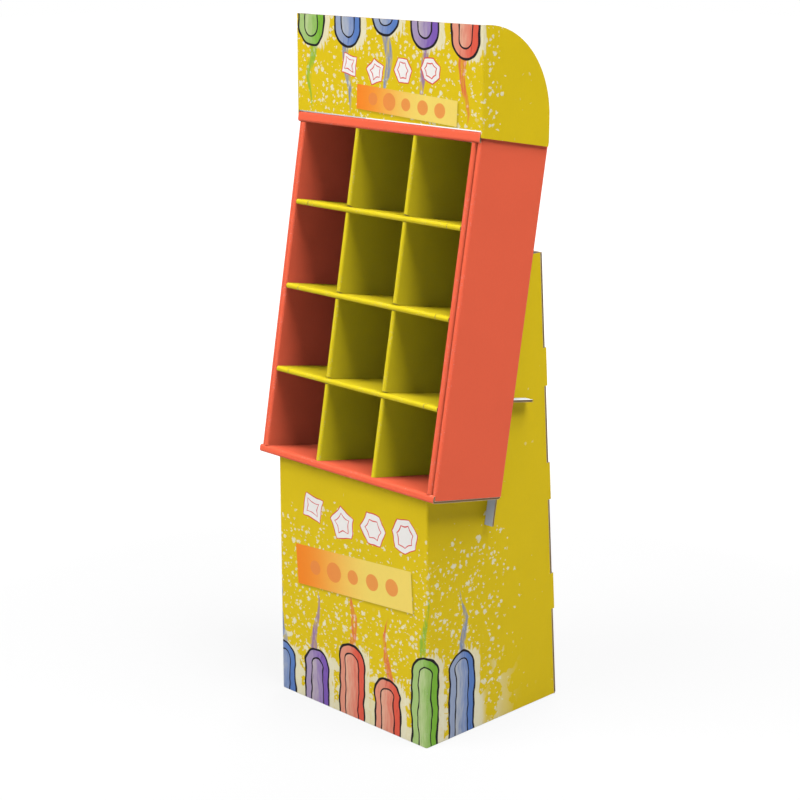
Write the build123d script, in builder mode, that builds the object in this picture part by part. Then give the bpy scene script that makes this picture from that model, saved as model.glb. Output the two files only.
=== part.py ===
from build123d import *
import os
from math import atan2, cos, degrees, radians, sin, tan

os.makedirs("parts", exist_ok=True)

# Corrugated board, and how it folds
board = 4.5
fold_gap = 1.5
crease_radius = 0.5
clearance = 0.3
slot_play = 0.4

# Base: a front panel and two side panels folded from one sheet, closed by a back panel
base_width = 430.0
base_depth = 389.0
front_height = 518.0
side_height = 955.0
top_depth = 58.6
foot_flap = 70.0
foot_radius = 2.5
mitre_gap = 1.0
seat_relief = 10.0
tab_count = 3
tab_height = 80.0
tab_pitch = 243.0
first_tab_height = 234.0
tab_reach = 4.5

# Tray: tipped back on the base, with a lip below and a rim above its cells
tilt = 10.0
tray_height = 700.0
tray_depth = 196.0
front_overhang = 22.0
side_overhang = 35.0
lip_height = 15.0
rim_height = 20.0
glue_flap = 45.0

# Grid of dividers and shelves inside the tray
divider_count = 2
divider_pitch = 159.0
divider_setback = 2.5
shelf_count = 3
shelf_pitch = 171.5
first_shelf_height = 177.0
shelf_setback = 1.0
slot_lead = 12.0
slot_lead_rise = 3.5
shelf_tab_length = 60.0
nick_inset = 35.0
nick_width = 1.2
nick_depth = 14.0

# Support board behind the tray, with ears through the base's side panels
support_ear = 20.0
support_drop = 59.0
support_rise = 194.5
support_flap = 74.0

# Header: a front panel and two rounded wings folded from one sheet
header_height = 191.0
header_gap = 2.0
wing_depth = 186.5
wing_radius = 180.0
wing_overlap = 10.5

# Sizes worked out from the ones above
doubled = 2 * board + fold_gap
outer_crease = board + crease_radius
middle_crease = board / 2 + crease_radius
nose_radius = doubled / 2
nose_bend = (board + fold_gap) / 2
front_y = front_overhang - (base_depth + front_overhang) / 2
rear_y = front_y + base_depth
base_inner = base_width / 2 - board
support_width = base_width + 2 * support_ear
tray_width = base_width + 2 * side_overhang
tray_inner = tray_width / 2 - doubled - clearance
cell_wall = tray_inner - doubled
wing_inner = tray_width / 2 + clearance
shelf_heights = [first_shelf_height + number * shelf_pitch for number in range(shelf_count)]
divider_places = [(number - (divider_count - 1) / 2) * divider_pitch for number in range(divider_count)]

# The tray's own frame starts at the lower front edge of its lip
up = Vector(0, sin(radians(tilt)), cos(radians(tilt)))
inward = Vector(0, cos(radians(tilt)), -sin(radians(tilt)))
tray_start = Vector(0, front_y - front_overhang, front_height + front_overhang * tan(radians(tilt)))
tray_section = Plane(tray_start, x_dir=inward, z_dir=(1, 0, 0))
tray_plan = Plane(tray_start, x_dir=(1, 0, 0), z_dir=up)

# Depths inside the tray, counted from the front of its lip
band_front = board + clearance
flap_face = tray_depth - board
back_outside = flap_face - clearance
back_inside = back_outside - board
contents_rear = back_inside - clearance
floor_level = lip_height + clearance
ceiling_level = tray_height - rim_height - clearance
side_foot = board + clearance
side_top = tray_height - board - clearance
support_face = tray_depth + clearance
rest_edge = support_face + board + clearance
crossing = (divider_setback + contents_rear) / 2


def on_side(depth, height):
    """The (y, z) of a point given by its depth into the tray and its height up the tray."""
    point = tray_start + inward * depth + up * height
    return (point.Y, point.Z)


def seat_z(y):
    """Height of the base's sloping seat, which the tray stands on."""
    slope = tan(radians(tilt))
    return tray_start.Z - (y - tray_start.Y) * slope - clearance / cos(radians(tilt))


# The side panels' short top edge ends at the back panel, which leans from there to the foot
rest_foot = on_side(rest_edge, -clearance)
rest_top = (rest_foot[0] + (side_height - rest_foot[1]) * tan(radians(tilt)), side_height)
back_lean = degrees(atan2(rear_y - rest_top[0] - top_depth, side_height))


def rear_edge_y(z):
    """Where the side panels end at a height, in front of the leaning back panel."""
    lean = radians(back_lean)
    return rear_y - (board + clearance) / cos(lean) - z * tan(lean)


def rear_tabs(length, height):
    """Draws the side panels' rear tabs, or the notches for them, on a sketch of the side."""
    for number in range(tab_count):
        level = first_tab_height + number * tab_pitch
        with Locations((rear_edge_y(level), level)):
            Rectangle(length, height, rotation=back_lean, align=(Align.MIN, Align.CENTER))


def doubled_board(front, rear):
    """Draws a sheet folded back on itself, its rounded fold at the front and both ends at the rear."""
    with BuildLine() as folded:
        upper = Line((rear, nose_bend), (front + nose_radius, nose_bend))
        bend = JernArc(upper @ 1, (-1, 0), nose_bend, 180)
        Line(bend @ 1, (rear, -nose_bend))
    trace(folded.line, line_width=board)


def upright(x, level):
    """A plane square to the tray's height, with its x axis running into the tray."""
    return Plane(tray_start + up * level + Vector(x, 0, 0), x_dir=inward, z_dir=up)


# Base sleeve
with BuildPart() as base_sleeve:
    sleeve_length = base_depth + tab_reach
    with BuildSketch():
        with Locations((0, front_y)):
            Rectangle(base_width, sleeve_length, align=(Align.CENTER, Align.MIN))
        fillet(vertices().group_by(Axis.Y)[0], outer_crease)
        with BuildSketch(mode=Mode.SUBTRACT):
            with Locations((0, front_y + board)):
                Rectangle(2 * base_inner, sleeve_length, align=(Align.CENTER, Align.MIN))
            fillet(vertices().group_by(Axis.Y)[0], crease_radius)
    extrude(amount=side_height)
    with BuildSketch(Plane.YZ):
        with BuildLine():
            Polyline(
                (front_y, 0),
                (rear_edge_y(0), 0),
                (rear_edge_y(side_height), side_height),
                rest_top,
                rest_foot,
                (front_y, seat_z(front_y)),
                close=True,
            )
        make_face()
        rear_tabs(board + clearance + tab_reach, tab_height)
    extrude(amount=base_width, both=True, mode=Mode.INTERSECT)
    # Slots that take the support board's ears
    with BuildSketch(tray_section):
        with Locations((rest_edge, -support_drop - slot_play)):
            Rectangle(board + clearance + slot_play, support_drop + slot_play, align=(Align.MAX, Align.MIN))
        with Locations((rest_edge, support_rise + slot_play)):
            Rectangle(
                support_flap - board + slot_play,
                board + 2 * slot_play,
                align=(Align.MIN, Align.MAX),
            )
    extrude(amount=base_width, both=True, mode=Mode.SUBTRACT)
    # Seat flap, folded back from the front panel between the side panels
    fold_y = front_y + board / 2
    fold_foot = seat_z(front_y) - seat_relief
    seat_half = base_inner - clearance
    with BuildSketch(Plane.YZ):
        with Locations((front_y, fold_foot)):
            Rectangle(outer_crease, 2 * seat_relief, align=Align.MIN)
    extrude(amount=seat_half, both=True, mode=Mode.SUBTRACT)
    with BuildSketch(Plane.YZ):
        with BuildLine():
            FilletPolyline(
                (fold_y, fold_foot),
                (fold_y, seat_z(fold_y) - board / 2 / cos(radians(tilt))),
                on_side(support_face - clearance, -clearance - board / 2),
                radius=middle_crease,
            )
        trace(line_width=board)
    extrude(amount=seat_half, both=True)
    # Foot flaps, folded in under the front and the sides and mitred where they meet
    with BuildSketch():
        front_flap_y = front_y + board
        rear_flap_y = rear_edge_y(0)
        flap_corner = base_inner - mitre_gap
        Polygon(
            (-flap_corner, front_flap_y),
            (flap_corner, front_flap_y),
            (flap_corner - foot_flap, front_flap_y + foot_flap),
            (foot_flap - flap_corner, front_flap_y + foot_flap),
            align=None,
        )
        for side in (-1, 1):
            Polygon(
                (side * base_inner, front_flap_y + mitre_gap),
                (side * base_inner, rear_flap_y - mitre_gap),
                (side * (base_inner - foot_flap), rear_flap_y - mitre_gap - foot_flap),
                (side * (base_inner - foot_flap), front_flap_y + mitre_gap + foot_flap),
                align=None,
            )
    extrude(amount=board)
    # The folds round the foot
    outline = edges().group_by(Axis.Z)[0]
    front_folds = outline.filter_by(lambda edge: edge.center().Y < front_y + board / 2)
    side_lines = outline.filter_by(Axis.Y)
    side_folds = side_lines.filter_by(lambda edge: abs(edge.center().X) > base_inner + board / 2)
    fillet(front_folds + side_folds, foot_radius)
base_sleeve.part.label = "base_sleeve"
export_step(base_sleeve.part, "parts/base_sleeve.step")

# Base back panel, with a foot flap and notches that the side panels' tabs come through
with BuildPart() as base_back:
    lean = radians(back_lean)
    outside_foot = rear_y - board / 2 / cos(lean)
    with BuildSketch(Plane.YZ):
        with BuildLine():
            FilletPolyline(
                (rear_y - board - foot_flap, board / 2),
                (outside_foot - board / 2 * tan(lean), board / 2),
                (outside_foot - side_height * tan(lean), side_height),
                radius=middle_crease,
            )
        trace(line_width=board)
    extrude(amount=base_width / 2, both=True)
    for side in (-1, 1):
        with BuildSketch(Plane.YZ.offset(side * (base_inner - slot_play))):
            rear_tabs(board + 2 * clearance + tab_reach, tab_height + 2 * slot_play)
        extrude(amount=side * base_width, mode=Mode.SUBTRACT)
    with BuildSketch():
        flap_rear = rear_edge_y(0)
        flap_front = flap_rear - foot_flap
        for side in (-1, 1):
            Polygon(
                (side * base_width, flap_rear),
                (side * (base_inner - mitre_gap), flap_rear),
                (side * (base_inner - mitre_gap - foot_flap), flap_front),
                (side * base_width, flap_front),
                align=None,
            )
    extrude(amount=outer_crease, mode=Mode.SUBTRACT)
base_back.part.label = "base_back"
export_step(base_back.part, "parts/base_back.step")

# Support board, folded once, hung in the side panels behind the tray
with BuildPart() as tray_support:
    with BuildSketch(tray_section):
        with BuildLine():
            FilletPolyline(
                (support_face + board / 2, -support_drop),
                (support_face + board / 2, support_rise - board / 2),
                (support_face + support_flap, support_rise - board / 2),
                radius=middle_crease,
            )
        trace(line_width=board)
    extrude(amount=support_width / 2, both=True)
tray_support.part.label = "tray_support"
export_step(tray_support.part, "parts/tray_support.step")

# Tray wrap: floor, lip, bottom, back, top, rim and ceiling folded from one sheet
with BuildPart() as tray_wrap:
    with BuildSketch(tray_section):
        with BuildLine():
            FilletPolyline(
                (contents_rear, lip_height - board / 2),
                (board / 2, lip_height - board / 2),
                (board / 2, board / 2),
                (back_outside - board / 2, board / 2),
                (back_outside - board / 2, tray_height - board / 2),
                (board / 2, tray_height - board / 2),
                (board / 2, tray_height - rim_height + board / 2),
                (contents_rear, tray_height - rim_height + board / 2),
                radius=middle_crease,
            )
        trace(line_width=board)
    extrude(amount=tray_width / 2, both=True)
    for side in (-1, 1):
        # Room for the folded side walls, between the lip and the back
        with BuildSketch(tray_section.offset(side * tray_inner)):
            with Locations((board, board)):
                Rectangle(back_inside - board, tray_height - 2 * board, align=Align.MIN)
        extrude(amount=side * tray_width, mode=Mode.SUBTRACT)
        # Room for the side walls' outer layer beside the back
        with BuildSketch(tray_section.offset(side * (tray_width / 2 - board - clearance))):
            with Locations((board, board)):
                Rectangle(tray_depth, tray_height - 2 * board, align=Align.MIN)
        extrude(amount=side * tray_width, mode=Mode.SUBTRACT)
tray_wrap.part.label = "tray_wrap"
export_step(tray_wrap.part, "parts/tray_wrap.step")

# Side walls: an inner layer, a rounded front edge, the outer wall and a glue flap behind the back
for side, name in ((-1, "tray_side_left"), (1, "tray_side_right")):
    with BuildPart() as tray_side:
        with BuildSketch(tray_plan.offset(side_foot)):
            wall = side * (tray_width / 2 - board / 2)
            inner_layer = side * (tray_width / 2 - doubled + board / 2)
            bend_depth = band_front + nose_radius
            with BuildLine():
                inner = Line((inner_layer, contents_rear), (inner_layer, bend_depth))
                bend = JernArc(inner @ 1, (0, -1), nose_bend, side * 180)
                FilletPolyline(
                    bend @ 1,
                    (wall, tray_depth - board / 2),
                    (wall - side * glue_flap, tray_depth - board / 2),
                    radius=middle_crease,
                )
            trace(line_width=board)
        extrude(amount=side_top - side_foot)
    tray_side.part.label = name
    export_step(tray_side.part, f"parts/{name}.step")

# Side liners: doubled boards that stand on the tray's floor, slotted for the shelves' tabs
for side, name in ((-1, "side_liner_left"), (1, "side_liner_right")):
    with BuildPart() as side_liner:
        with BuildSketch(upright(side * (tray_inner - doubled / 2), floor_level)):
            doubled_board(0, contents_rear)
        extrude(amount=ceiling_level - floor_level)
        with BuildSketch(tray_section.offset(side * (cell_wall + board / 2))):
            with Locations(*[(crossing, height) for height in shelf_heights]):
                Rectangle(shelf_tab_length + 2 * slot_play, doubled + 2 * slot_play)
        extrude(amount=(board + fold_gap) / 2, both=True, mode=Mode.SUBTRACT)
    side_liner.part.label = name
    export_step(side_liner.part, f"parts/{name}.step")

# Dividers: doubled boards, each cut from the front where a shelf crosses it, with flared mouths
for place, name in zip(divider_places, ("divider_left", "divider_right")):
    with BuildPart() as divider:
        slot_depth = crossing + slot_play
        slot_half = nose_radius + slot_play
        mouth_top = slot_half + slot_lead_rise
        with BuildSketch(upright(place, floor_level)):
            doubled_board(divider_setback, contents_rear)
        extrude(amount=ceiling_level - floor_level)
        with BuildSketch(tray_section):
            with Locations(*[(0, height) for height in shelf_heights]):
                Polygon(
                    (0, -slot_half),
                    (slot_depth, -slot_half),
                    (slot_depth, slot_half),
                    (divider_setback + slot_lead, slot_half),
                    (divider_setback, mouth_top),
                    (0, mouth_top),
                    align=None,
                )
        extrude(amount=tray_width / 2, both=True, mode=Mode.SUBTRACT)
    divider.part.label = name
    export_step(divider.part, f"parts/{name}.step")

# Shelves: doubled boards with end tabs, each cut from the rear where a divider crosses it
for height, name in zip(shelf_heights, ("shelf_lower", "shelf_middle", "shelf_upper")):
    with BuildPart() as shelf:
        shelf_end = cell_wall - clearance
        tab_end = cell_wall + board + fold_gap / 2
        with BuildSketch(Plane(tray_start + up * height, x_dir=inward, z_dir=(1, 0, 0))):
            doubled_board(shelf_setback, contents_rear)
        extrude(amount=tab_end, both=True)
        with BuildSketch(tray_plan.offset(height)):
            for side in (-1, 1):
                with Locations((side * tab_end, crossing)):
                    Rectangle(2 * (tab_end - shelf_end), 2 * contents_rear)
                    Rectangle(2 * (tab_end - shelf_end), shelf_tab_length, mode=Mode.SUBTRACT)
                with Locations((side * (shelf_end - nick_inset), shelf_setback)):
                    Rectangle(nick_width, nick_depth, align=(Align.CENTER, Align.MIN))
            for place in divider_places:
                with Locations((place, crossing - slot_play)):
                    Rectangle(doubled + 2 * slot_play, contents_rear, align=(Align.CENTER, Align.MIN))
        extrude(amount=doubled, both=True, mode=Mode.SUBTRACT)
    shelf.part.label = name
    export_step(shelf.part, f"parts/{name}.step")

# Header: a front panel standing over the tray's rim, with wings that come down outside its sides
with BuildPart() as header:
    header_y, rim_top = on_side(0, tray_height)
    header_foot = rim_top + header_gap
    header_top = header_foot + header_height
    wing_rear = header_y + wing_depth
    with BuildSketch():
        with Locations((0, header_y)):
            Rectangle(2 * (wing_inner + board), wing_depth, align=(Align.CENTER, Align.MIN))
        fillet(vertices().group_by(Axis.Y)[0], outer_crease)
        with BuildSketch(mode=Mode.SUBTRACT):
            with Locations((0, header_y + board)):
                Rectangle(2 * wing_inner, wing_depth, align=(Align.CENTER, Align.MIN))
            fillet(vertices().group_by(Axis.Y)[0], crease_radius)
    extrude(amount=header_top)
    with BuildSketch(Plane.YZ):
        wing_foot = tray_height - wing_overlap
        rear_depth = wing_depth / cos(radians(tilt))
        with BuildLine():
            outline = Polyline(
                (wing_rear, header_top - wing_radius),
                on_side(rear_depth, tray_height),
                on_side(rear_depth, wing_foot),
                on_side(wing_overlap * tan(radians(tilt)), wing_foot),
                (header_y, header_top),
                (wing_rear - wing_radius, header_top),
            )
            RadiusArc(outline @ 1, outline @ 0, wing_radius)
        make_face()
    extrude(amount=tray_width, both=True, mode=Mode.INTERSECT)
    with BuildSketch(Plane.YZ):
        with Locations((header_y, header_foot)):
            Rectangle(outer_crease, header_foot, align=(Align.MIN, Align.MAX))
    extrude(amount=wing_inner, both=True, mode=Mode.SUBTRACT)
header.part.label = "header"
export_step(header.part, "parts/header.step")
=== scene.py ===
import math

import bmesh
import bpy
import numpy as np
from bpy.props import FloatProperty, FloatVectorProperty, IntProperty, PointerProperty
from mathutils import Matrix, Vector
from mathutils.bvhtree import BVHTree


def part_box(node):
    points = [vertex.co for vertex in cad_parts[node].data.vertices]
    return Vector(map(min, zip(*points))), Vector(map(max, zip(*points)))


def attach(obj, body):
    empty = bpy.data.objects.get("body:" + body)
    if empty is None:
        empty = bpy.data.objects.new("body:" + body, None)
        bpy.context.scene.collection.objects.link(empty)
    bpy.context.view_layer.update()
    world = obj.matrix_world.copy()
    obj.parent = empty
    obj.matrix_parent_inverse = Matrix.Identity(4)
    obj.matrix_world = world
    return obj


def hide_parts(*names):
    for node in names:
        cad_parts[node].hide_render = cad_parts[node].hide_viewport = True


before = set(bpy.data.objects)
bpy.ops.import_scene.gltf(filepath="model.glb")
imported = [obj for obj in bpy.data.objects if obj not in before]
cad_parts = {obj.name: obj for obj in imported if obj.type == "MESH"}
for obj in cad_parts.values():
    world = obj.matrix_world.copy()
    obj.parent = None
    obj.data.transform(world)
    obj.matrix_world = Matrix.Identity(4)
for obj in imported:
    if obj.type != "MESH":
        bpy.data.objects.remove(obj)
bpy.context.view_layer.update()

bl_info = {
    "name": "Cardboard Display Stand",
    "version": (1, 0, 0),
    "blender": (4, 5, 0),
    "location": "View3D > Sidebar > Display Stand",
    "description": "Prints, cuts and lights the sheets of a corrugated display stand",
    "category": "Object",
}

BODY = "root"

# Places read from the frame, in metres
SLEEVE_LOW, SLEEVE_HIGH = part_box("base_sleeve")
WRAP_LOW, WRAP_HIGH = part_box("tray_wrap")
HEADER_LOW, HEADER_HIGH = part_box("header")

# The tray leans back, and its own height follows from the box round its leaning wrap
TRAY_TILT = math.radians(10)
UP_TRAY = Vector((0, math.sin(TRAY_TILT), math.cos(TRAY_TILT)))
INTO_TRAY = Vector((0, math.cos(TRAY_TILT), -math.sin(TRAY_TILT)))
WRAP_SIZE = WRAP_HIGH - WRAP_LOW
TRAY_HEIGHT = (
    (WRAP_SIZE.z * math.cos(TRAY_TILT) - WRAP_SIZE.y * math.sin(TRAY_TILT)) / math.cos(2 * TRAY_TILT)
)

# Ways in which the flutes of a sheet follow one another
ACROSS = Vector((1, 0, 0))
ROUND_CORNERS = Vector((1, 1, 0))

# A face's place among its sheet's materials says what it is
PRINTED, PLAIN, RAW = range(3)

# The board's UV map holds the place along the row of flutes, and one of these marks
EDGE_MAP = "board"
NEITHER, LINER_END, FOLD = 0.0, 0.5, 1.0

# In metres: how near corners merge, a fold's widest facet, and how deep the tray's outermost sheets lie
MERGE_DISTANCE = 1e-6
FOLD_FACET = 0.0025
OUTERMOST = 0.01

# In board thicknesses: the most board that is under a printed or plain face, and a cut edge's short sides
DEEPEST_SKIN = 1.6
SHORT_SIDE = (0.8, 1.3)

# Cosines above which two faces lie flat side by side, or count as one way out of a corner
SAME_PLANE = 0.999
SAME_WAY = 0.9999

# Angles up to which faces are joined, and above which an edge is sharp
JOINED_ANGLE = math.radians(0.2)
SHARP_ANGLE = math.radians(40)

# The fluting: the share of its channel's depth that it fills, the least share of a cut line that counts as
# running across the flutes, and how near its points merge, in thicknesses of its paper
CHANNEL_FILL = 0.96
LEAST_ACROSS = 0.02
MERGE_SHARE = 0.05

# The paper's relief, in metres
FIBRE_HEIGHT = 0.00002
WRINKLE_HEIGHT = 0.0001
CRACK_DEPTH = 0.00005
BARE_FIBRE_HEIGHT = 0.0001

# Scales of the paper's noise, per metre
MOTTLE_SCALE = 7.0
CRACKED_PATCH_SCALE = 24.0
BROAD_SCALE = 35.0
WRINKLE_SCALE = 90.0
GRAIN_SCALE = 160.0
CRACK_SCALE = 330.0
FLECK_SCALE = 420.0
TORN_FIBRE_SCALE = 700.0
FIBRE_SCALE = 900.0

# How much each of these changes a paper's colour
MOTTLE_SHADE = 0.08
GRAIN_SHADE = 0.05
FLUTE_SHADE = 0.002
CRACK_SHADE = 0.14
FLECK_SHADE = 0.2

# How soft the edges of the inks are, in metres
INK_BLUR = 0.0006
LABEL_BLUR = 0.0004
SHADE_BLUR = 0.004
BADGE_BLUR = 0.0008
SLOT_BLUR = 0.0001

# Discs on each label
LABEL_DISCS = 5

# Small and large speckles: their spacing in cells, the largest radius in that spacing, and a seed
SPECKLES = ((1.0, 0.36, 0.0), (2.1, 0.27, 5.0))

# The arches' paints, in turn
ARCH_COLOURS = (
    (0.72, 0.10, 0.06), (0.19, 0.44, 0.04), (0.08, 0.42, 0.27),
    (0.10, 0.20, 0.50), (0.20, 0.10, 0.42), (0.80, 0.32, 0.04),
)

# What bounced light meets in place of the inks
BOUNCE_GREY = (0.45, 0.45, 0.45, 1)

# The floor: its colour as it lights the stand, and what is seen instead, a dark ground that takes the shadow
# and a glow over it that grows away from the stand
FLOOR_GREY = (0.42, 0.42, 0.42, 1)
SHADOW_GREY = (0.10, 0.10, 0.10, 1)
GLOW_NEAR, GLOW_GAIN = 0.82, 0.25
WHITE = (1, 1, 1, 1)

# The camera's place in metres, its turn in degrees and its sensor's width in millimetres
CAMERA_PLACE = (2.6233, -2.6443, 1.6324)
CAMERA_TURN = (75.07, 0, 45.26)
SENSOR_WIDTH = 36.0

# Each lamp's name, its angle from the front towards the right, and its angle above the floor, in degrees
LAMPS = (("front", -20, 47), ("side", 94, 66), ("rear", -148, 32))

# A colour Mix node's factor, first and second colour, and its result
MIX_INPUTS = (0, 6, 7)
MIX_OUTPUT = 2

# Filled as the sheets are built, and read for the fluting
CUT_LINES = []


class BoardSettings(bpy.types.PropertyGroup):
    """Sizes and colours of the corrugated board itself."""

    thickness: FloatProperty(
        name="Thickness", description="Thickness of one sheet", default=0.0045, unit="LENGTH"
    )
    flute_pitch: FloatProperty(
        name="Flute pitch", description="Distance from one flute to the next", default=0.0075, unit="LENGTH"
    )
    recess: FloatProperty(
        name="Recess", description="How deep a cut edge shows the fluting", default=0.002, unit="LENGTH"
    )
    steps_per_flute: IntProperty(
        name="Steps per flute", description="How finely each wave of the fluting is divided", default=8,
        min=4, max=16,
    )
    liner: FloatProperty(
        name="Liner", description="Thickness of each outer paper", default=0.00035, unit="LENGTH"
    )
    medium: FloatProperty(
        name="Fluting paper", description="Thickness of the paper between the liners", default=0.0003,
        unit="LENGTH",
    )
    washboard: FloatProperty(
        name="Washboard", description="How far the paper sinks between flutes", default=0.00002, unit="LENGTH"
    )
    yellow: FloatVectorProperty(
        name="Yellow ink", description="Ground colour of base and header", subtype="COLOR",
        size=4, default=(0.71, 0.515, 0.008, 1),
    )
    grid_yellow: FloatVectorProperty(
        name="Grid ink", description="Colour of dividers and shelves", subtype="COLOR",
        size=4, default=(0.665, 0.525, 0.012, 1),
    )
    red: FloatVectorProperty(
        name="Red ink", description="Colour of the tray", subtype="COLOR", size=4,
        default=(0.81, 0.124, 0.059, 1),
    )
    paper: FloatVectorProperty(
        name="White paper", description="Unprinted side of the sheets", subtype="COLOR", size=4,
        default=(0.68, 0.71, 0.73, 1),
    )
    kraft: FloatVectorProperty(
        name="Kraft", description="Brown fluting between the liners", subtype="COLOR", size=4,
        default=(0.42, 0.28, 0.155, 1),
    )
    torn: FloatVectorProperty(
        name="Torn paper", description="Ends of the liners at a cut edge", subtype="COLOR", size=4,
        default=(0.60, 0.48, 0.34, 1),
    )


class PrintSettings(bpy.types.PropertyGroup):
    """Sizes and colours of the printed pattern."""

    cream: FloatVectorProperty(
        name="Cream", description="Splashes and speckles", subtype="COLOR", size=4,
        default=(0.78, 0.73, 0.52, 1),
    )
    outline: FloatVectorProperty(
        name="Outline", description="Dark line round the arches", subtype="COLOR", size=4,
        default=(0.012, 0.01, 0.012, 1),
    )
    label_dark: FloatVectorProperty(
        name="Label, deep end", description="Left end of the label's gradient", subtype="COLOR", size=4,
        default=(0.89, 0.24, 0.02, 1),
    )
    label_light: FloatVectorProperty(
        name="Label, pale end", description="Right end of the label's gradient", subtype="COLOR", size=4,
        default=(0.87, 0.66, 0.14, 1),
    )
    label_shade: FloatVectorProperty(
        name="Label, shade", description="Soft shadow under the label", subtype="COLOR", size=4,
        default=(0.18, 0.11, 0.01, 1),
    )
    disc: FloatVectorProperty(
        name="Disc", description="Discs on the label", subtype="COLOR", size=4,
        default=(0.80, 0.25, 0.06, 1),
    )
    badge: FloatVectorProperty(
        name="Badge", description="Ground of the badges", subtype="COLOR", size=4,
        default=(0.86, 0.83, 0.80, 1),
    )
    badge_line: FloatVectorProperty(
        name="Badge line", description="Lines round and in the badges", subtype="COLOR", size=4,
        default=(0.66, 0.06, 0.05, 1),
    )
    arch_pitch: FloatProperty(
        name="Arch pitch", description="Distance between the printed arches", default=0.105, unit="LENGTH"
    )
    arch_radius: FloatProperty(
        name="Arch radius", description="Half the width of an arch", default=0.036, unit="LENGTH"
    )
    speckle_cell: FloatProperty(
        name="Speckle spacing", description="Mean distance between speckles", default=0.011, unit="LENGTH"
    )


class StageSettings(bpy.types.PropertyGroup):
    """Camera, lamps and floor."""

    lens: FloatProperty(name="Lens", description="Focal length", default=85.29, subtype="DISTANCE_CAMERA")
    floor_size: FloatProperty(
        name="Floor", description="Side of the pale floor", default=40.0, unit="LENGTH"
    )
    shadow_reach: FloatProperty(
        name="Shadow reach", description="Distance at which the floor is plain white", default=2.2,
        unit="LENGTH",
    )
    lamp_size: FloatProperty(
        name="Lamp size", description="Side of each square lamp", default=6.0, unit="LENGTH"
    )
    lamp_distance: FloatProperty(
        name="Lamp distance", description="Distance of the lamps from the stand's middle", default=9.0,
        unit="LENGTH",
    )
    front_power: FloatProperty(
        name="Front lamp", description="Power of the lamp above the front", default=770.0, unit="POWER"
    )
    side_power: FloatProperty(
        name="Side lamp", description="Power of the lamp on the right", default=1080.0, unit="POWER"
    )
    rear_power: FloatProperty(
        name="Rear lamp", description="Power of the lamp behind the left side", default=440.0, unit="POWER"
    )
    ambient: FloatProperty(name="Ambient", description="Strength of the even light", default=0.03, min=0.0)


class Value:
    """A socket in a node tree that can be used in arithmetic."""

    def __init__(self, net, socket):
        self.net = net
        self.socket = socket

    def __add__(self, other):
        return self.net.math("ADD", self, other)

    def __radd__(self, other):
        return self.net.math("ADD", other, self)

    def __sub__(self, other):
        return self.net.math("SUBTRACT", self, other)

    def __rsub__(self, other):
        return self.net.math("SUBTRACT", other, self)

    def __mul__(self, other):
        return self.net.math("MULTIPLY", self, other)

    def __rmul__(self, other):
        return self.net.math("MULTIPLY", other, self)

    def __truediv__(self, other):
        return self.net.math("DIVIDE", self, other)

    def __rtruediv__(self, other):
        return self.net.math("DIVIDE", other, self)


class Tree:
    """A node tree that is written as short calls."""

    def __init__(self, tree):
        self.tree = tree
        tree.nodes.clear()

    def node(self, kind, **settings):
        """Adds a node with these settings."""
        made = self.tree.nodes.new(kind)
        for name, value in settings.items():
            setattr(made, name, value)
        return made

    def feed(self, socket, value):
        """Links a value to an input, or writes a plain one into it."""
        if isinstance(value, Value):
            self.tree.links.new(value.socket, socket)
        else:
            socket.default_value = value

    def make(self, kind, *first, settings=None, output=0, **named):
        """Adds a node, feeds its first inputs in order and others by name, and gives one of its outputs."""
        made = self.node(kind, **(settings or {}))
        for socket, value in zip(made.inputs, first):
            self.feed(socket, value)
        for name, value in named.items():
            self.feed(made.inputs[name.replace("_", " ")], value)
        return Value(self, made.outputs[output])

    def end(self, kind, value):
        """Adds the tree's output node, and sends a shader or a geometry to it."""
        self.feed(self.node(kind).inputs[0], value)

    def math(self, operation, *inputs):
        """A number worked out from others."""
        return self.make("ShaderNodeMath", *inputs, settings={"operation": operation})

    def vector_math(self, operation, *inputs, **named):
        """A vector worked out from others."""
        return self.make("ShaderNodeVectorMath", *inputs, settings={"operation": operation}, **named)

    def background_rays(self):
        """1 for the rays that show the background: the camera's own, and those by way of gloss or glass."""
        path = self.node("ShaderNodeLightPath")
        rays = [Value(self, path.outputs[f"Is {kind} Ray"]) for kind in ("Camera", "Glossy", "Transmission")]
        return self.math("MAXIMUM", rays[0], self.math("MAXIMUM", rays[1], rays[2]))


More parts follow.
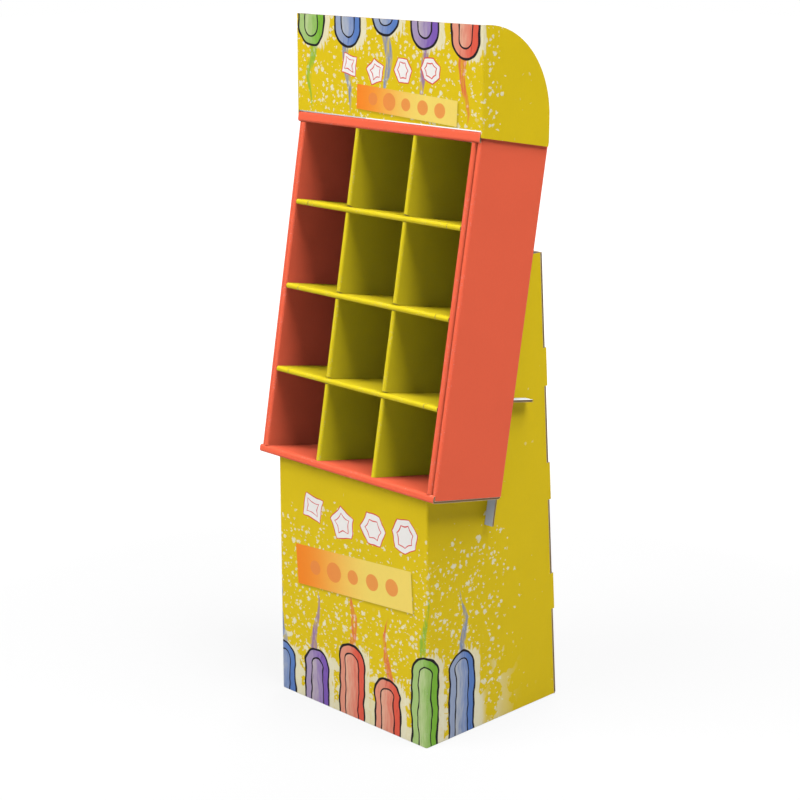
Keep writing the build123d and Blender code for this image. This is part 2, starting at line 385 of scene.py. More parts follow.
class Net(Tree):
    """A material and its tree."""

    def __init__(self, name):
        self.material = bpy.data.materials.new(name)
        self.material.use_nodes = True
        super().__init__(self.material.node_tree)
        self.coordinates = None

    def place(self):
        """The piece's own coordinates."""
        if self.coordinates is None:
            self.coordinates = self.make("ShaderNodeTexCoord", output="Object")
        return self.coordinates

    def parts(self, value, kind="ShaderNodeSeparateXYZ"):
        """The three numbers of a vector or a colour."""
        made = self.node(kind)
        self.feed(made.inputs[0], value)
        return [Value(self, socket) for socket in made.outputs]

    def vector(self, x, y, z=0.0):
        """A vector from its three numbers."""
        return self.make("ShaderNodeCombineXYZ", x, y, z)

    def noise(self, vector, scale, detail=2.0, dimensions="3D", output="Fac"):
        """Smooth noise, about 0.5 in the middle."""
        return self.make(
            "ShaderNodeTexNoise", settings={"noise_dimensions": dimensions}, output=output,
            Vector=vector, Scale=scale, Detail=detail,
        )

    def step(self, value, low, high):
        """0 below low and 1 above high, smooth between; swapped limits turn it round."""
        start, end = (1.0, 0.0) if low > high else (0.0, 1.0)
        return self.make(
            "ShaderNodeMapRange", settings={"interpolation_type": "SMOOTHSTEP"}, output="Result",
            Value=value, From_Min=min(low, high), From_Max=max(low, high), To_Min=start, To_Max=end,
        )

    def mix(self, factor, first, second, blend="MIX"):
        """The first colour, with the second over it by the factor."""
        made = self.node("ShaderNodeMix", data_type="RGBA", blend_type=blend, clamp_factor=True)
        for place, value in zip(MIX_INPUTS, (factor, first, second)):
            self.feed(made.inputs[place], value)
        return Value(self, made.outputs[MIX_OUTPUT])

    def shaded(self, colour, shade):
        """A colour made darker or lighter."""
        return self.mix(1.0, colour, self.vector(shade, shade, shade), blend="MULTIPLY")

    def palette(self, position, colours):
        """One of the colours, by a position from 0 to 1."""
        made = self.node("ShaderNodeValToRGB")
        ramp = made.color_ramp
        ramp.interpolation = "CONSTANT"
        for number, colour in enumerate(colours):
            place = number / len(colours)
            stop = ramp.elements[number] if number < 2 else ramp.elements.new(place)
            stop.position = place
            stop.color = (*colour, 1)
        self.feed(made.inputs[0], position)
        return Value(self, made.outputs[0])

    def random(self, value):
        """A number from 0 to 1 that is always the same for one value."""
        return self.make(
            "ShaderNodeTexWhiteNoise", settings={"noise_dimensions": "1D"}, output="Value", W=value
        )

    def finish(self, colour, roughness, height, specular=0.1):
        """Sends the colour, the roughness and the height in metres to one Principled shader.

        Light that bounces from board to board meets a neutral grey, so the print's colours don't spill.
        """
        bounced = self.make("ShaderNodeLightPath", output="Is Diffuse Ray")
        shader = self.make(
            "ShaderNodeBsdfPrincipled", Base_Color=self.mix(bounced, colour, BOUNCE_GREY),
            Roughness=roughness, Specular_IOR_Level=specular,
            Normal=self.make("ShaderNodeBump", Height=height, Distance=1.0),
        )
        self.end("ShaderNodeOutputMaterial", shader)
        return self.material


def flutes(net, board):
    """The flute wave under the paper, from -1 to 1, and the face's mark: a fold, a liner's end or neither."""
    along, mark, _ = net.parts(net.make("ShaderNodeUVMap", settings={"uv_map": EDGE_MAP}))
    wave = net.math("SINE", along * (2 * math.pi / board.flute_pitch))
    return wave, mark


def paper_skin(net, board, ink, strength):
    """Finishes a paper face: ink on a washboard of flutes, mottled, fibrous, and cracked along the folds."""
    place = net.place()
    wave, mark = flutes(net, board)
    fold = net.step(mark, LINER_END + 0.1, FOLD - 0.1)
    fibre = net.noise(place, FIBRE_SCALE, 4.0)
    mottle = net.noise(place, MOTTLE_SCALE, 3.0) - 0.5
    grain = net.noise(place, GRAIN_SCALE, 3.0) - 0.5
    wrinkle = net.noise(place, WRINKLE_SCALE, 3.0) - 0.5
    fine, patch = net.noise(place, CRACK_SCALE, 5.0), net.noise(place, CRACKED_PATCH_SCALE)
    cracks = fold * net.step(fine, 0.56, 0.66) * net.step(patch, 0.42, 0.62)
    shade = 1.0 + mottle * (MOTTLE_SHADE * strength) + grain * (GRAIN_SHADE * strength) + wave * FLUTE_SHADE
    colour = net.mix(cracks * CRACK_SHADE, net.shaded(ink, shade), board.paper)
    roughness = 0.6 + grain * 0.15 + cracks * 0.2
    height = wave * board.washboard * (1.0 - fold) + (fibre - 0.5) * FIBRE_HEIGHT
    height = height + wrinkle * fold * WRINKLE_HEIGHT - cracks * CRACK_DEPTH
    return net.finish(colour, roughness, height)


def plain_print(name, board, ink):
    """A face printed in one ink."""
    return paper_skin(Net(name), board, ink, 1.0)


def white_paper(board):
    """The unprinted side: white liner with faint brown flecks."""
    net = Net("white_liner")
    flecks = net.step(net.noise(net.place(), FLECK_SCALE), 0.70, 0.78)
    ink = net.mix(flecks * FLECK_SHADE, board.paper, board.kraft)
    return paper_skin(net, board, ink, 0.6)


def bare_fibres(net, colour, fibre):
    """Finishes brown paper that has no ink: rough and dull, with its fibres standing up."""
    return net.finish(colour, 0.9, fibre * BARE_FIBRE_HEIGHT, specular=0.05)


def raw_edge(board):
    """A cut edge: the torn ends of the two liners, and their brown insides down in the board, made a little
    darker there as painted shade.
    """
    net = Net("raw_edge")
    _, mark = flutes(net, board)
    fibre = net.noise(net.place(), TORN_FIBRE_SCALE, 4.0)
    # The channel's walls and floor: kraft brown, a tenth darker as painted shade down in the recess
    inside = Vector(board.kraft) * 0.9
    torn = net.step(mark, NEITHER + 0.2, LINER_END - 0.1)
    colour = net.mix(torn, (*inside[:3], 1), board.torn)
    return bare_fibres(net, net.shaded(colour, 0.8 + fibre * 0.4), fibre)


def kraft_paper(board):
    """Brown fluting paper with darker and lighter fibres."""
    net = Net("kraft_paper")
    fibre = net.noise(net.place(), FIBRE_SCALE, 5.0)
    broad = net.noise(net.place(), BROAD_SCALE)
    colour = net.shaded(board.kraft, 0.72 + fibre * 0.4 + broad * 0.25)
    return bare_fibres(net, colour, fibre)


def arches(net, ground, sideways, height, settings, tops, phase):
    """A row of painted arches that stand at height 0, each with a wash beside it and a ribbon above."""
    pitch, radius = settings.arch_pitch, settings.arch_radius
    cream, dark = settings.cream, settings.outline
    index = net.math("FLOOR", sideways / pitch + 0.5)
    offset = sideways - index * pitch
    top = tops[0] + (tops[1] - tops[0]) * net.random(index + phase)
    choice = net.math("FRACT", (index + phase) / len(ARCH_COLOURS) + 10.0)
    paint = net.palette(choice, ARCH_COLOURS)
    brush = net.noise(net.vector(sideways * 6.0, height), 30.0, 4.0)
    ragged = (brush - 0.5) * radius * 1.4
    shoulder = net.math("MAXIMUM", height - (top - radius), 0.0)

    def from_spine(shift):
        aside = offset - shift
        return net.math("SQRT", aside * aside + shoulder * shoulder)

    # The wash beside the arch, and the ribbon above it
    spill = net.step(from_spine(radius * 0.45) + ragged, radius * 1.18, radius * 1.05)
    colour = net.mix(spill * 0.85, ground, cream)
    lift = height - top
    sway = net.math("SINE", lift * 34.0 + index * 2.0) * 0.008
    breadth = 0.009 * (1.0 - net.step(lift, 0.02, 0.15))
    ribbon = net.step(net.math("ABSOLUTE", offset - sway) - breadth, 0.0015, -0.0015)
    ribbon = ribbon * net.step(lift, -0.004, 0.0) * net.step(lift, 0.14, 0.11)
    colour = net.mix(ribbon * net.step(brush, 0.25, 0.62) * 0.8, colour, paint)

    # The arch: deeper on one side, paler on the other, with brush marks
    spine = from_spine(0.0)
    tone = net.step(offset + ragged, radius * 0.6, -radius * 0.7)
    body = net.mix(tone * 0.30, paint, cream)
    body = net.mix(net.step(brush, 0.58, 0.76) * 0.6, body, net.mix(0.6, paint, dark))
    colour = net.mix(net.step(spine, radius + INK_BLUR, radius - INK_BLUR), colour, body)
    heart = net.step(spine, radius * 0.52, radius * 0.48)
    colour = net.mix(heart * 0.5, colour, net.mix(tone * 0.5 + 0.25, paint, cream))
    for ring, width in ((radius, 0.0029), (radius * 0.5, 0.0019)):
        line = net.step(net.math("ABSOLUTE", spine - ring), width, width * 0.7)
        colour = net.mix(line, colour, dark)
    return colour


def speckles(net, ground, sideways, height, settings, cover):
    """Cream specks of two sizes, thrown where cover is high."""
    place = net.vector(*hand_drawn(net, sideways, height, 0.009, 150.0))
    colour = ground
    for cells_apart, largest, seed in SPECKLES:
        cells = net.node("ShaderNodeTexVoronoi", voronoi_dimensions="2D", feature="F1")
        net.feed(cells.inputs["Vector"], net.vector_math("ADD", place, (seed, seed, 0)))
        net.feed(cells.inputs["Scale"], 1.0 / (settings.speckle_cell * cells_apart))
        size, present, _ = net.parts(Value(net, cells.outputs["Color"]), "ShaderNodeSeparateColor")
        radius = largest * (0.25 + 0.75 * size * size)
        shown = net.step(present - cover, 0.02, -0.02)
        dot = net.step(Value(net, cells.outputs["Distance"]) - radius, 0.03, -0.03) * shown
        colour = net.mix(dot * 0.85, colour, settings.cream)
    return colour


def label(net, ground, sideways, height, settings, centre, half, turn):
    """A tilted orange label with a row of discs and a soft shadow under it."""
    across, rise = sideways - centre[0], height - centre[1]
    along = across * math.cos(turn) + rise * math.sin(turn)
    above = rise * math.cos(turn) - across * math.sin(turn)

    def panel(shift, soft):
        wide = net.math("ABSOLUTE", along - shift) - half[0]
        tall = net.math("ABSOLUTE", above + shift) - half[1]
        return net.step(net.math("MAXIMUM", wide, tall), soft, -soft)

    colour = net.mix(panel(0.004, SHADE_BLUR) * 0.45, ground, settings.label_shade)
    fade = net.step(along, -half[0], half[0] * 0.4)
    tint = net.mix(fade, settings.label_dark, settings.label_light)
    colour = net.mix(panel(0.0, LABEL_BLUR), colour, tint)
    pitch = half[0] * 2 / (LABEL_DISCS + 1)
    slot = net.math("ROUND", along / pitch)
    offset = along - slot * pitch
    size = pitch * (0.27 + 0.13 * net.random(slot + 20.0))
    disc = net.step(net.math("SQRT", offset * offset + above * above) - size, INK_BLUR, -INK_BLUR)
    inside = net.step(net.math("ABSOLUTE", slot), LABEL_DISCS / 2 + 0.1, LABEL_DISCS / 2 - 0.1)
    return net.mix(disc * inside * 0.85, colour, settings.disc)


def badges(net, ground, sideways, height, settings, centre, pitch, count, radius):
    """A row of white shapes with a red outline: a square, a pentagon and so on."""
    start = centre[0] - pitch * count / 2
    end = start + pitch * count
    slot = net.math("FLOOR", (sideways - start) / pitch)
    inside = net.step(sideways, start - SLOT_BLUR, start) * net.step(sideways, end, end - SLOT_BLUR)
    lift = (net.random(slot + 3.0) - 0.5) * radius * 0.5
    across = sideways - start - (slot + 0.5) * pitch
    rise = height - centre[1] - lift
    sides = slot + 4.0
    sector = 2 * math.pi / sides
    turn = net.math("ARCTAN2", rise, across) + net.random(slot + 8.0) * 1.5 + 4 * math.pi
    fold = net.math("MODULO", turn, sector) - sector * 0.5
    reach = net.math("COSINE", sector * 0.5) / net.math("COSINE", fold)
    distance = net.math("SQRT", across * across + rise * rise) - reach * radius
    colour = net.mix(net.step(distance, BADGE_BLUR, -BADGE_BLUR) * inside, ground, settings.badge)
    for ring in (0.0, -radius * 0.38):
        line = net.step(net.math("ABSOLUTE", distance - ring), 0.0016, 0.0007) * inside
        colour = net.mix(line, colour, settings.badge_line)
    return colour


def wrapped(net, front):
    """Sideways distance that runs on round the corners of a folded front, and the height."""
    x, y, z = net.parts(net.place())
    return x + net.math("SIGN", x) * net.math("MAXIMUM", y - front, 0.0), z


def hand_drawn(net, sideways, height, amount, scale=22.0):
    """The same place, wandering a little like a brush."""
    slow = net.noise(net.vector(sideways, height), scale, 1.5, "2D", output="Color")
    shift, other, _ = net.parts(slow, "ShaderNodeSeparateColor")
    return sideways + (shift - 0.5) * amount, height + (other - 0.5) * amount


def base_print(board, settings):
    """The base's pattern: splashes, arches that rise from the floor, a label and badges."""
    net = Net("base_print")
    plain, z = wrapped(net, SLEEVE_LOW.y)
    sideways, height = hand_drawn(net, plain, z, 0.012)
    ragged = net.noise(net.vector(sideways, height), 26.0, 4.0, "2D")
    reach = net.step(net.math("ABSOLUTE", sideways - 0.08), 0.42, 0.28)
    patches = net.step(net.noise(net.vector(sideways, 0.0), 11.0, 1.0, "2D"), 0.30, 0.46)
    splash = net.step(height + (ragged - 0.5) * 0.50, 0.062, 0.048) * reach * patches
    colour = net.mix(splash * 0.9, board.yellow, settings.cream)
    cover = reach * net.step(z, 0.47, 0.33) * net.step(ragged, 0.30, 0.55) * 0.8
    colour = speckles(net, colour, plain, z, settings, cover)
    shown = net.step(net.math("ABSOLUTE", sideways - settings.arch_pitch / 2), 0.3155, 0.315)
    row = arches(net, colour, sideways, height, settings, tops=(0.10, 0.20), phase=0.0)
    colour = net.mix(shown, colour, row)
    colour = label(
        net, colour, plain, z, settings, centre=(0.005, 0.305), half=(0.168, 0.043), turn=0.07
    )
    colour = badges(
        net, colour, sideways, height, settings, centre=(0.02, 0.42), pitch=0.088, count=4, radius=0.036
    )
    return paper_skin(net, board, colour, 1.0)


def header_print(board, settings):
    """The header's pattern: arches that hang from its top, a label and badges."""
    net = Net("header_print")
    plain, z = wrapped(net, HEADER_LOW.y)
    top = HEADER_HIGH.z
    sideways, drop = hand_drawn(net, plain, top - z, 0.010)
    ragged = net.noise(net.vector(sideways, drop), 26.0, 4.0, "2D")
    reach = net.step(net.math("ABSOLUTE", sideways), 0.34, 0.24)
    cover = reach * net.step(ragged, 0.28, 0.55) * 0.8
    colour = speckles(net, board.yellow, plain, z, settings, cover)
    shown = net.step(net.math("ABSOLUTE", sideways), 0.2605, 0.26)
    row = arches(net, colour, sideways, drop, settings, tops=(0.03, 0.064), phase=4.0)
    colour = net.mix(shown, colour, row)
    colour = label(
        net, colour, plain, z, settings, centre=(0.055, top - 0.158), half=(0.135, 0.024), turn=-0.05
    )
    colour = badges(
        net, colour, sideways, top - drop, settings, centre=(0.01, top - 0.095), pitch=0.074, count=4,
        radius=0.026,
    )
    return paper_skin(net, board, colour, 1.0)


def sheet_faces(mesh_source, board, printed, folded):
    """A merged copy of a CAD sheet whose faces know if they are printed, plain or a raw edge.

    A raw edge has more board behind it than a sheet is thick, unless the folded rule takes its face.
    """
    sheet = bmesh.new()
    sheet.from_mesh(mesh_source)
    bmesh.ops.remove_doubles(sheet, verts=sheet.verts, dist=MERGE_DISTANCE)
    sheet.normal_update()
    solid = BVHTree.FromBMesh(sheet)
    for face in sheet.faces:
        centre = face.calc_center_median()
        _, _, _, depth = solid.ray_cast(centre - face.normal * MERGE_DISTANCE * 10, -face.normal)
        deep = depth is None or depth > board.thickness * DEEPEST_SKIN
        if deep and not folded(centre, face.normal):
            face.material_index = RAW
        else:
            face.material_index = PRINTED if printed(centre, face.normal) else PLAIN
    return sheet


def cut_lines(sheet, board, along):
    """The middle lines of a sheet's cut edges, as (start, end, way in, way along the flutes' row).

    Lines shorter than a fifth of a flute lie in folds, where the fluting is crushed, and are left out.
    """
    lines = []
    shortest = board.flute_pitch / 5
    shortest_side, longest_side = (board.thickness * share for share in SHORT_SIDE)
    for face in sheet.faces:
        if face.material_index != RAW:
            continue
        gates = []
        for edge in face.edges:
            neighbours = [other for other in edge.link_faces if other is not face]
            if not neighbours or neighbours[0].material_index != RAW:
                continue
            flat = face.normal.dot(neighbours[0].normal) > SAME_PLANE
            if flat or shortest_side < edge.calc_length() < longest_side:
                gates.append((edge.verts[0].co + edge.verts[1].co) / 2)
        if len(gates) == 2 and (gates[0] - gates[1]).length > shortest:
            lines.append((gates[0], gates[1], -face.normal, along))
    return lines


def channel_points(corner, board):
    """Where a corner of a cut edge goes: in by the liner's thickness, and from there down into the board."""
    ways, lip, deep = [], [], []
    for face in corner.link_faces:
        if any(face.normal.dot(way) > SAME_WAY for way in ways):
            continue
        cut = face.material_index == RAW
        ways.append(face.normal)
        lip.append(0.0 if cut else -board.liner)
        deep.append(-board.recess if cut else -board.liner)
    offsets = np.linalg.pinv(np.array(ways), rcond=0.15)
    return corner.co + Vector(offsets @ lip), corner.co + Vector(offsets @ deep)


def hollow_cut_edges(sheet, board, chart, along):
    """Turns each cut edge into two liners' ends with a channel between them."""
    raw = [face for face in sheet.faces if face.material_index == RAW]
    lips, floors = {}, {}
    for corner in dict.fromkeys(corner for face in raw for corner in face.verts):
        lip, floor = channel_points(corner, board)
        lips[corner], floors[corner] = sheet.verts.new(lip), sheet.verts.new(floor)
    made = []
    for face in raw:
        made.append(([floors[loop.vert] for loop in face.loops], NEITHER))
        for loop in face.loops:
            if any(other.material_index == RAW for other in loop.edge.link_faces if other is not face):
                continue
            start, end = loop.vert, loop.link_loop_next.vert
            made.append(([start, end, lips[end], lips[start]], LINER_END))
            made.append(([lips[start], lips[end], floors[end], floors[start]], NEITHER))
    new_faces = []
    for corners, mark in made:
        face = sheet.faces.new(corners)
        face.material_index = RAW
        new_faces.append(face)
        for loop in face.loops:
            loop[chart].uv = (loop.vert.co.dot(along), mark)
    bmesh.ops.delete(sheet, geom=raw, context="FACES")
    for face in new_faces:
        face.normal_update()


def finish_sheet(sheet, board, along):
    """Joins flat faces, lays out the board's map, hollows the cut edges and marks the sharp edges."""
    bmesh.ops.dissolve_limit(
        sheet, angle_limit=JOINED_ANGLE, verts=sheet.verts, edges=sheet.edges, delimit={"MATERIAL"}
    )
    chart = sheet.loops.layers.uv.new(EDGE_MAP)
    for face in sheet.faces:
        longest = max(edge.calc_length() for edge in face.edges)
        mark = FOLD if face.calc_area() < longest * FOLD_FACET else NEITHER
        for loop in face.loops:
            loop[chart].uv = (loop.vert.co.dot(along), mark)
    hollow_cut_edges(sheet, board, chart, along)
    for face in sheet.faces:
        face.smooth = True
    for edge in sheet.edges:
        edge.smooth = edge.calc_face_angle(math.pi) < SHARP_ANGLE


def everywhere(centre, normal):
    """A rule that takes every face."""
    return True


def nowhere(centre, normal):
    """A rule that takes no face."""
    return False


def build_sheet(node, along, printed, finishes, folded=nowhere):
    """Makes the printed sheet that stands for a CAD node, and keeps its cut lines for the fluting."""
    board = bpy.context.scene.stand_board
    sheet = sheet_faces(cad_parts[node].data, board, printed, folded)
    CUT_LINES.extend(cut_lines(sheet, board, along))
    finish_sheet(sheet, board, along)
    mesh = bpy.data.meshes.new(node)
    sheet.to_mesh(mesh)
    sheet.free()
    for finish in finishes:
        mesh.materials.append(finish)
    piece = bpy.data.objects.new(f"{node}_sheet", mesh)
    bpy.context.scene.collection.objects.link(piece)
    weighted = piece.modifiers.new("flat faces", "WEIGHTED_NORMAL")
    weighted.keep_sharp = True
    evaluated = piece.evaluated_get(bpy.context.evaluated_depsgraph_get())
    finished = bpy.data.meshes.new_from_object(evaluated)
    piece.modifiers.clear()
    piece.data = finished
    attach(piece, BODY)
    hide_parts(node)


def fluting_tree(kraft):
    """Geometry Nodes: a wave of thick paper along each cut line, standing in the board's channel."""
    group = bpy.data.node_groups.new("fluting", "GeometryNodeTree")
    group.is_modifier = True
    for way in ("INPUT", "OUTPUT"):
        group.interface.new_socket("Geometry", in_out=way, socket_type="NodeSocketGeometry")
    for name in ("Flute pitch", "Flute height", "Depth", "Paper"):
        socket = group.interface.new_socket(name, in_out="INPUT", socket_type="NodeSocketFloat")
        socket.subtype = "DISTANCE"
    group.interface.new_socket("Steps per flute", in_out="INPUT", socket_type="NodeSocketInt")
    net = Tree(group)
    given = {socket.name: Value(net, socket) for socket in net.node("NodeGroupInput").outputs}
    pitch, depth, paper = given["Flute pitch"], given["Depth"], given["Paper"]

    def named(name, kind):
        return net.make("GeometryNodeInputNamedAttribute", name, settings={"data_type": kind})

    way_in = named("way_in", "FLOAT_VECTOR")
    aside = net.vector_math("CROSS_PRODUCT", way_in, net.make("GeometryNodeInputTangent"))

    # The middle line of the cut edge, bent into the wave at the channel's foot
    lines = net.make("GeometryNodeMeshToCurve", given["Geometry"])
    across_flutes = net.math("MAXIMUM", named("across_flutes", "FLOAT"), LEAST_ACROSS)
    length = pitch / given["Steps per flute"] / across_flutes
    lines = net.make("GeometryNodeResampleCurve", lines, settings={"mode": "LENGTH"}, Length=length)
    wave = net.math("SINE", named("place_along", "FLOAT") / pitch * (2 * math.pi))
    swing = net.vector_math("SCALE", aside, Scale=wave * (given["Flute height"] - paper) * 0.5)
    sink = net.vector_math("SCALE", way_in, Scale=depth)
    lines = net.make("GeometryNodeSetPosition", lines, Offset=net.vector_math("ADD", swing, sink))

    # The paper's thickness, its height up to the cut edge, and its closed foot
    vectors = {"data_type": "FLOAT_VECTOR", "domain": "POINT"}
    lines = net.make(
        "GeometryNodeStoreNamedAttribute", lines, settings=vectors, Name="paper_normal", Value=aside
    )
    ribbon = net.make("GeometryNodeCurveToMesh", lines)
    thick = net.vector_math("SCALE", named("paper_normal", "FLOAT_VECTOR"), Scale=paper)
    foot = net.make("GeometryNodeExtrudeMesh", ribbon, settings={"mode": "EDGES"}, Offset=thick)
    rise = net.vector_math("SCALE", way_in, Scale=depth * -CHANNEL_FILL)
    wall = net.make(
        "GeometryNodeExtrudeMesh", foot, settings={"mode": "FACES"}, Offset=rise, Individual=False
    )
    joined = net.node("GeometryNodeJoinGeometry")
    for part in (wall, net.make("GeometryNodeFlipFaces", foot)):
        net.feed(joined.inputs[0], part)
    ribbon = Value(net, joined.outputs[0])
    ribbon = net.make("GeometryNodeMergeByDistance", ribbon, Distance=paper * MERGE_SHARE)
    ribbon = net.make("GeometryNodeRealizeInstances", ribbon)
    net.end("NodeGroupOutput", net.make("GeometryNodeSetMaterial", ribbon, Material=kraft))
    return group


def line_mesh():
    """All the cut lines as edges whose ends know the way into the board and their place along the flutes."""
    points, edges, ways, places, shares, known = [], [], [], [], [], {}

    def point(place, way_in, along, share):
        key = (*(round(value, 6) for value in place), *(round(value, 2) for value in way_in), round(share, 2))
        if key not in known:
            known[key] = len(points)
            points.append(place)
            ways.extend(way_in)
            places.append(place.dot(along))
            shares.append(share)
        return known[key]

    for start, end, way_in, along in CUT_LINES:
        share = abs((end - start).normalized().dot(along))
        edges.append((point(start, way_in, along, share), point(end, way_in, along, share)))
    mesh = bpy.data.meshes.new("cut_lines")
    mesh.from_pydata(points, edges, [])
    mesh.attributes.new("way_in", "FLOAT_VECTOR", "POINT").data.foreach_set("vector", ways)
    mesh.attributes.new("place_along", "FLOAT", "POINT").data.foreach_set("value", places)
    mesh.attributes.new("across_flutes", "FLOAT", "POINT").data.foreach_set("value", shares)
    return mesh


def material(name, make):
    """The material of that name, made once."""
    return bpy.data.materials.get(name) or make()


def shared_finishes():
    """The white liner, the raw edge, and the inks of the grid and the tray, each made once."""
    board = bpy.context.scene.stand_board
    white = material("white_liner", lambda: white_paper(board))
    raw = material("raw_edge", lambda: raw_edge(board))
    yellow = material("grid_ink", lambda: plain_print("grid_ink", board, board.grid_yellow))
    red = material("tray_ink", lambda: plain_print("tray_ink", board, board.red))
    return white, raw, yellow, red


def outside_of(inner_point):
    """A rule: a face is printed if it looks away from a point inside the folded sheet."""
    middle = Vector(inner_point)
    return lambda centre, normal: (centre - middle).dot(normal) > 0


def wrap_outside(centre, normal):
    """A rule: the wrap's print is on the side of the sheet that ends up outside when it is folded round."""
    middle = (WRAP_LOW + WRAP_HIGH) / 2
    depth, height = (centre - middle).dot(INTO_TRAY), (centre - middle).dot(UP_TRAY)
    inward, upward = normal.dot(INTO_TRAY), normal.dot(UP_TRAY)
    if abs(upward) < abs(inward):
        return (inward < 0) == (depth < 0)
    away = (upward > 0) == (height > 0)
    outermost = abs(height) > TRAY_HEIGHT / 2 - OUTERMOST
    return away == outermost


def support_front(centre, normal):
    """A rule: the support's side towards the tray, and the top of its flap."""
    return normal.dot(INTO_TRAY) < 0 or normal.dot(UP_TRAY) > 0.5


class STAND_OT_base(bpy.types.Operator):
    """Builds the base: the printed sleeve and the white back panel"""

    bl_idname = "stand.base"
    bl_label = "Base"

    def execute(self, context):
        board = context.scene.stand_board
        white, raw, _, _ = shared_finishes()
        print_finish = base_print(board, context.scene.stand_print)
        hollow = (0, 0, SLEEVE_HIGH.z * 0.3)

        def under_the_foot(centre, normal):
            """A rule: the undersides of the foot's folds, which have a whole panel's height above them."""
            return centre.z < board.thickness and normal.z < -0.01

        build_sheet(
            "base_sleeve", ROUND_CORNERS, outside_of(hollow), (print_finish, white, raw),
            folded=under_the_foot,
        )
        build_sheet("base_back", ACROSS, outside_of(hollow), (white, white, raw))
        return {"FINISHED"}


class STAND_OT_support(bpy.types.Operator):
    """Builds the white board that holds the tray's back"""

    bl_idname = "stand.support"
    bl_label = "Support board"

    def execute(self, context):
        white, raw, _, _ = shared_finishes()
        build_sheet("tray_support", ACROSS, support_front, (white, white, raw))
        return {"FINISHED"}


class STAND_OT_tray(bpy.types.Operator):
    """Builds the red tray: its wrap, its side walls and the liners inside them"""

    bl_idname = "stand.tray"
    bl_label = "Tray"

    def execute(self, context):
        white, raw, _, red = shared_finishes()
        build_sheet("tray_wrap", ACROSS, wrap_outside, (red, white, raw))
        for side in ("left", "right"):
            build_sheet(f"tray_side_{side}", ACROSS + INTO_TRAY, everywhere, (red, white, raw))
            build_sheet(f"side_liner_{side}", INTO_TRAY, everywhere, (red, white, raw))
        return {"FINISHED"}


class STAND_OT_grid(bpy.types.Operator):
    """Builds the yellow dividers and shelves"""

    bl_idname = "stand.grid"
    bl_label = "Grid"

    def execute(self, context):
        white, raw, yellow, _ = shared_finishes()
        for node in ("divider_left", "divider_right", "shelf_lower", "shelf_middle", "shelf_upper"):
            build_sheet(node, INTO_TRAY, everywhere, (yellow, white, raw))
        return {"FINISHED"}


class STAND_OT_header(bpy.types.Operator):
    """Builds the printed header"""

    bl_idname = "stand.header"
    bl_label = "Header"

    def execute(self, context):
        white, raw, _, _ = shared_finishes()
        print_finish = header_print(context.scene.stand_board, context.scene.stand_print)
        behind = (0, HEADER_HIGH.y, (HEADER_LOW.z + HEADER_HIGH.z) / 2)
        build_sheet("header", ROUND_CORNERS, outside_of(behind), (print_finish, white, raw))
        return {"FINISHED"}


class STAND_OT_fluting(bpy.types.Operator):
    """Builds the waves of brown paper that show at every cut edge"""

    bl_idname = "stand.fluting"
    bl_label = "Fluting"

    def execute(self, context):
        board = context.scene.stand_board
        kraft = kraft_paper(board)
        lines = bpy.data.objects.new("fluting", line_mesh())
        context.scene.collection.objects.link(lines)
        tree = fluting_tree(kraft)
        waves = lines.modifiers.new("fluting", "NODES")
        waves.node_group = tree
        sizes = {
            "Flute pitch": board.flute_pitch,
            "Flute height": board.thickness - 2 * board.liner,
            "Depth": board.recess,
            "Paper": board.medium,
            "Steps per flute": board.steps_per_flute,
        }
        for socket in tree.interface.items_tree:
            if socket.name in sizes:
                waves[socket.identifier] = sizes[socket.name]
        evaluated = lines.evaluated_get(context.evaluated_depsgraph_get())
        fluting = bpy.data.meshes.new_from_object(evaluated)
        lines.modifiers.clear()
        lines.data = fluting
        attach(lines, BODY)
        return {"FINISHED"}


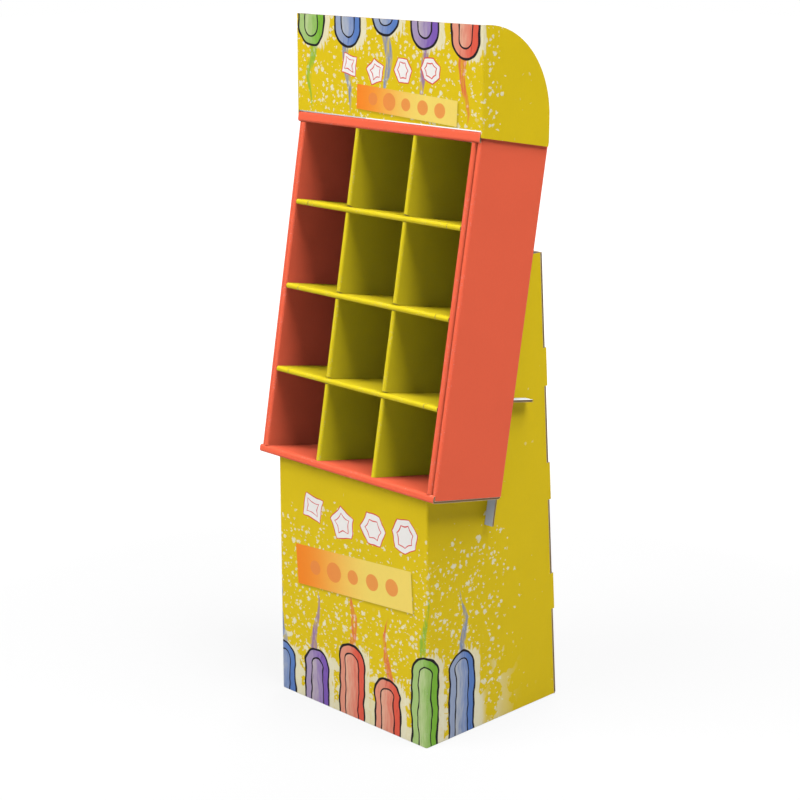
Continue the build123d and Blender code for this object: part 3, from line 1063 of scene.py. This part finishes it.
class STAND_OT_stage(bpy.types.Operator):
    """Sets the camera, the lamps, the even light and the pale floor"""

    bl_idname = "stand.stage"
    bl_label = "Stage"

    def execute(self, context):
        stage = context.scene.stand_stage
        self.camera(context, stage)
        for name, azimuth, elevation in LAMPS:
            self.lamp(context, stage, name, math.radians(azimuth), math.radians(elevation))
        self.sky(context, stage)
        self.floor(context, stage)
        context.scene.view_settings.view_transform = "Standard"
        return {"FINISHED"}

    def camera(self, context, stage):
        """Puts the camera where it sees the stand's front and right side."""
        data = bpy.data.cameras.new("camera")
        data.lens = stage.lens
        data.sensor_width = SENSOR_WIDTH
        camera = bpy.data.objects.new("camera", data)
        camera.location = CAMERA_PLACE
        camera.rotation_euler = [math.radians(angle) for angle in CAMERA_TURN]
        context.scene.collection.objects.link(camera)
        context.scene.camera = camera

    def lamp(self, context, stage, name, azimuth, elevation):
        """Hangs a square lamp, its azimuth counted from the front towards the right."""
        level = math.cos(elevation)
        direction = Vector((math.sin(azimuth) * level, -math.cos(azimuth) * level, math.sin(elevation)))
        data = bpy.data.lights.new(f"{name}_lamp", "AREA")
        data.size = stage.lamp_size
        data.energy = getattr(stage, f"{name}_power")
        lamp = bpy.data.objects.new(data.name, data)
        lamp.location = Vector((0, 0, WRAP_LOW.z)) + direction * stage.lamp_distance
        lamp.rotation_euler = direction.to_track_quat("Z", "Y").to_euler()
        context.scene.collection.objects.link(lamp)

    def sky(self, context, stage):
        """Lights the stand evenly, and shows white behind it."""
        world = bpy.data.worlds.new("even_light")
        world.use_nodes = True
        net = Tree(world.node_tree)
        even = net.make("ShaderNodeBackground", Color=WHITE, Strength=stage.ambient)
        seen = net.make("ShaderNodeBackground", Color=WHITE, Strength=1.0)
        net.end("ShaderNodeOutputWorld", net.make("ShaderNodeMixShader", net.background_rays(), even, seen))
        context.scene.world = world

    def floor(self, context, stage):
        """Lays a floor that lights the stand as pale grey, and is seen white with the stand's shadow."""
        half = stage.floor_size / 2
        mesh = bpy.data.meshes.new("floor")
        corners = [(-half, -half, 0), (half, -half, 0), (half, half, 0), (-half, half, 0)]
        mesh.from_pydata(corners, [], [(0, 1, 2, 3)])
        floor = bpy.data.objects.new("floor", mesh)
        context.scene.collection.objects.link(floor)
        net = Net("floor")
        plain = net.make("ShaderNodeBsdfDiffuse", Color=FLOOR_GREY)
        shadowed = net.make("ShaderNodeBsdfDiffuse", Color=SHADOW_GREY)
        x, y, _ = net.parts(net.place())
        distance = net.math("SQRT", x * x + y * y)
        away = net.step(distance, stage.shadow_reach * 0.5, stage.shadow_reach)
        glow = net.make("ShaderNodeEmission", Strength=GLOW_NEAR + away * GLOW_GAIN)
        seen = net.make("ShaderNodeAddShader", shadowed, glow)
        shader = net.make("ShaderNodeMixShader", net.background_rays(), plain, seen)
        net.end("ShaderNodeOutputMaterial", shader)
        mesh.materials.append(net.material)


class STAND_PT_panel(bpy.types.Panel):
    """Lists the stand's pieces and their settings"""

    bl_idname = "STAND_PT_panel"
    bl_label = "Display stand"
    bl_space_type = "VIEW_3D"
    bl_region_type = "UI"
    bl_category = "Display Stand"

    def draw(self, context):
        for group_name in GROUPS:
            group = getattr(context.scene, group_name)
            box = self.layout.box()
            for name in group.__annotations__:
                box.prop(group, name)
        for operator in OPERATORS:
            self.layout.operator(operator.bl_idname)


GROUPS = {"stand_board": BoardSettings, "stand_print": PrintSettings, "stand_stage": StageSettings}
OPERATORS = (
    STAND_OT_base, STAND_OT_support, STAND_OT_tray, STAND_OT_grid, STAND_OT_header, STAND_OT_fluting,
    STAND_OT_stage,
)
CLASSES = (*GROUPS.values(), *OPERATORS, STAND_PT_panel)


def register():
    """Registers the classes and hangs the settings on the scene."""
    for kind in CLASSES:
        bpy.utils.register_class(kind)
    for name, group in GROUPS.items():
        setattr(bpy.types.Scene, name, PointerProperty(type=group))


def unregister():
    """Takes the settings and the classes away again."""
    for name in GROUPS:
        delattr(bpy.types.Scene, name)
    for kind in reversed(CLASSES):
        bpy.utils.unregister_class(kind)


def main():
    """Builds every piece in order."""
    register()
    bpy.ops.stand.base()
    bpy.ops.stand.support()
    bpy.ops.stand.tray()
    bpy.ops.stand.grid()
    bpy.ops.stand.header()
    bpy.ops.stand.fluting()
    bpy.ops.stand.stage()


if __name__ == "__main__":
    main()
